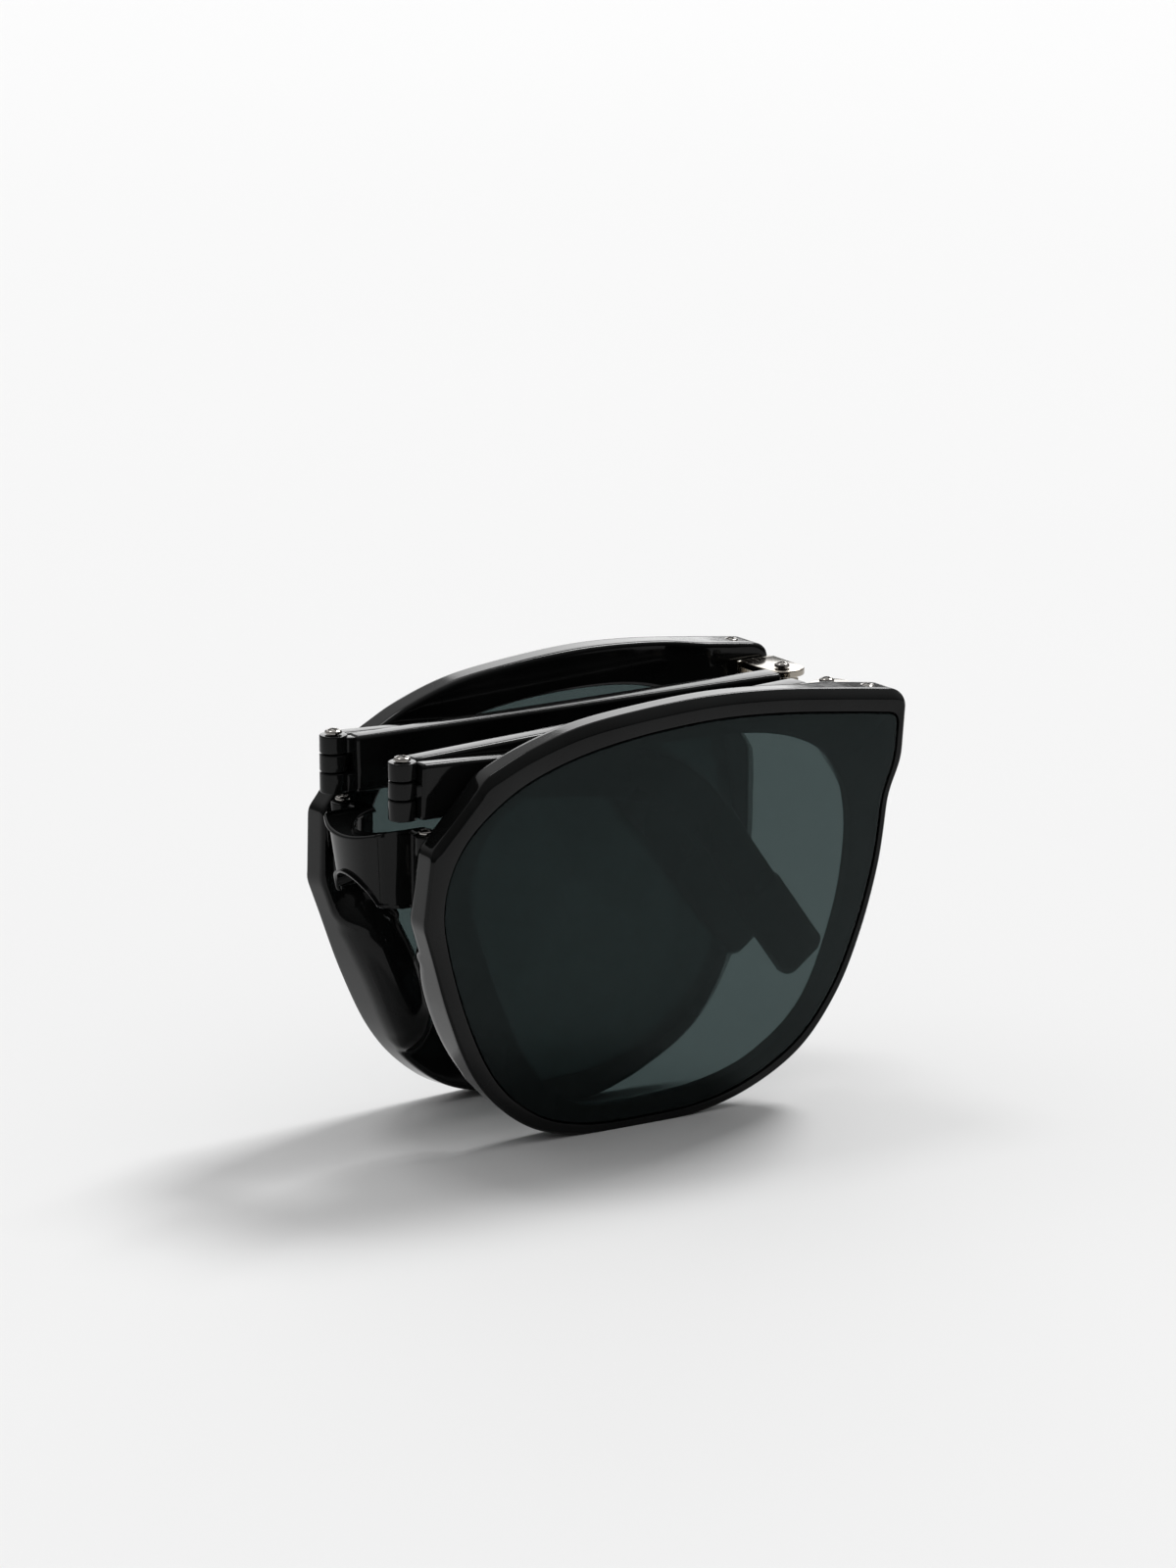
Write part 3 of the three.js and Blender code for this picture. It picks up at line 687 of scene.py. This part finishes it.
piece("bridge_body", bridge_shape(), BLACK, "bridge")
for name_side, mirrored in (("left", False), ("right", True)):
    rim_body, front_body, rear_body = (f"{b}_{name_side}" for b in ("rim", "front_arm", "rear_arm"))
    piece(f"rim_frame_{name_side}", rim_shape(), BLACK, rim_body,
          (f"rim_{name_side}",), mirrored)
    lugs = joined(*(knuckle(BRIDGE_PIVOT, LUG_RADIUS, PIN_BORE, low, high)
                    for low, high in ((29.0, 30.95), (34.9, 37.0))))
    piece(f"rim_knuckles_{name_side}", lugs, BLACK, rim_body, (), mirrored)
    piece(f"lens_panel_{name_side}", lens_shape(), TINT, rim_body,
          (f"lens_{name_side}",), mirrored)
    for label, node, centre, numbers, body in (
            ("bridge_pin", "bridge_screw", BRIDGE_PIVOT, (29.7, 37.2, 0.85, 0.5), rim_body),
            ("end_pin", "end_piece_screw", END_SCREW, (46.15, 47.2, 0.85, 0.4), rim_body),
            ("temple_pin", "temple_screw", TEMPLE_PIVOT, (41.9, 45.85, 0.85, 0.55), rim_body),
            ("middle_pin", "middle_screw", MIDDLE_PIVOT, (39.4, 45.25, 0.95, 0.5), front_body)):
        piece(f"{label}_{name_side}", screw_shape(centre, *numbers), SCREW, body,
              (f"{node}_{name_side}",), mirrored)
    piece(f"fork_{name_side}", fork_shape(), METAL, rim_body,
          (f"hinge_fork_{name_side}",), mirrored)
    piece(f"leaf_{name_side}", leaf_shape(), METAL, front_body,
          (f"hinge_leaf_{name_side}",), mirrored)
    piece(f"front_temple_{name_side}", front_arm_shape(), TEMPLE_BLACK, front_body,
          (f"temple_front_{name_side}",), mirrored)
    piece(f"rear_temple_{name_side}", rear_arm_shape(), TEMPLE_BLACK, rear_body,
          (f"temple_rear_{name_side}",), mirrored)
    piece(f"tip_sleeve_{name_side}", sleeve_shape(), SATIN, rear_body,
          (f"temple_tip_{name_side}",), mirrored)
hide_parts("bridge")


# ---------------------------------------------------------------- floor, light and camera

def floor_material():
    material, tree, shader = new_material("pale_floor")
    coordinates = tree.nodes.new("ShaderNodeTexCoord").outputs["Object"]
    drift = noise(tree, coordinates, 3, 2)
    pale = blended(tree, drift, (0.80, 0.80, 0.80), (0.82, 0.82, 0.82))
    tree.links.new(pale, shader.inputs["Base Color"])
    shader.inputs["Roughness"].default_value = 0.9
    shader.inputs["Specular IOR Level"].default_value = 0.1
    return material


def floor():
    mesh = bpy.data.meshes.new("floor")
    reach = 6.0
    corners = [(-reach, -reach, 0), (reach, -reach, 0), (reach, reach, 0), (-reach, reach, 0)]
    mesh.from_pydata(corners, [], [(0, 1, 2, 3)])
    mesh.materials.append(floor_material())
    made = bpy.data.objects.new("floor", mesh)
    bpy.context.scene.collection.objects.link(made)


def area_light(name, place, size, power):
    """A white panel in metres, turned to the object."""
    data = bpy.data.lights.new(name, "AREA")
    data.shape = "RECTANGLE"
    data.size, data.size_y = size
    data.energy = power
    made = bpy.data.objects.new(name, data)
    bpy.context.scene.collection.objects.link(made)
    made.location = place
    direction = Vector(OBJECT_MIDDLE) - Vector(place)
    made.rotation_mode = "QUATERNION"
    made.rotation_quaternion = direction.to_track_quat("-Z", "Y")


def seen_from(azimuth, elevation, distance):
    """A place for a light, at this azimuth from +X, elevation and distance in metres."""
    a, e = math.radians(azimuth), math.radians(elevation)
    return (distance * math.cos(e) * math.cos(a), distance * math.cos(e) * math.sin(a),
            distance * math.sin(e))


def world():
    made = bpy.data.worlds.new("studio")
    bpy.context.scene.world = made
    made.use_nodes = True
    tree = made.node_tree
    background = tree.nodes["Background"]
    split = tree.nodes.new("ShaderNodeSeparateXYZ")
    tree.links.new(tree.nodes.new("ShaderNodeTexCoord").outputs["Generated"], split.inputs["Vector"])
    overhead = spread(tree, split.outputs["Z"], 0.15, 0.65, 0.115, 0.76)
    behind = combined(tree, "ADD", combined(tree, "MULTIPLY", split.outputs["X"], 0.5), split.outputs["Y"])
    from_behind = spread(tree, behind, -0.7, 0.6, 0.34, 1.2)
    tree.links.new(combined(tree, "MULTIPLY", overhead, from_behind), background.inputs["Strength"])
    background.inputs["Color"].default_value = (1, 1, 1, 1)


def camera():
    azimuth, elevation = math.radians(-33.0), math.radians(14.4)
    distance = 0.678
    forward = Vector((-math.sin(azimuth) * math.cos(elevation),
                      math.cos(azimuth) * math.cos(elevation), -math.sin(elevation)))
    right = Vector((math.cos(azimuth), math.sin(azimuth), 0))
    up = right.cross(forward)
    target = Vector((0.00016, 0, 0.03642))
    data = bpy.data.cameras.new("camera")
    data.sensor_width = 36
    data.lens = 140.8
    data.clip_start, data.clip_end = 0.01, 50
    made = bpy.data.objects.new("camera", data)
    bpy.context.scene.collection.objects.link(made)
    turn = Matrix((right, up, -forward)).transposed()
    made.matrix_world = Matrix.Translation(target - forward * distance) @ turn.to_4x4()
    bpy.context.scene.camera = made


floor()
world()
area_light("key", seen_from(22, 50, 12.0), (3.4, 3.4), 880)
area_light("back_light", seen_from(100, 66, 12.0), (2.6, 2.6), 160)
area_light("low_panel", seen_from(58, 16, 6.0), (3.4, 2.2), 52)
camera()
bpy.context.scene.view_settings.view_transform = "Standard"
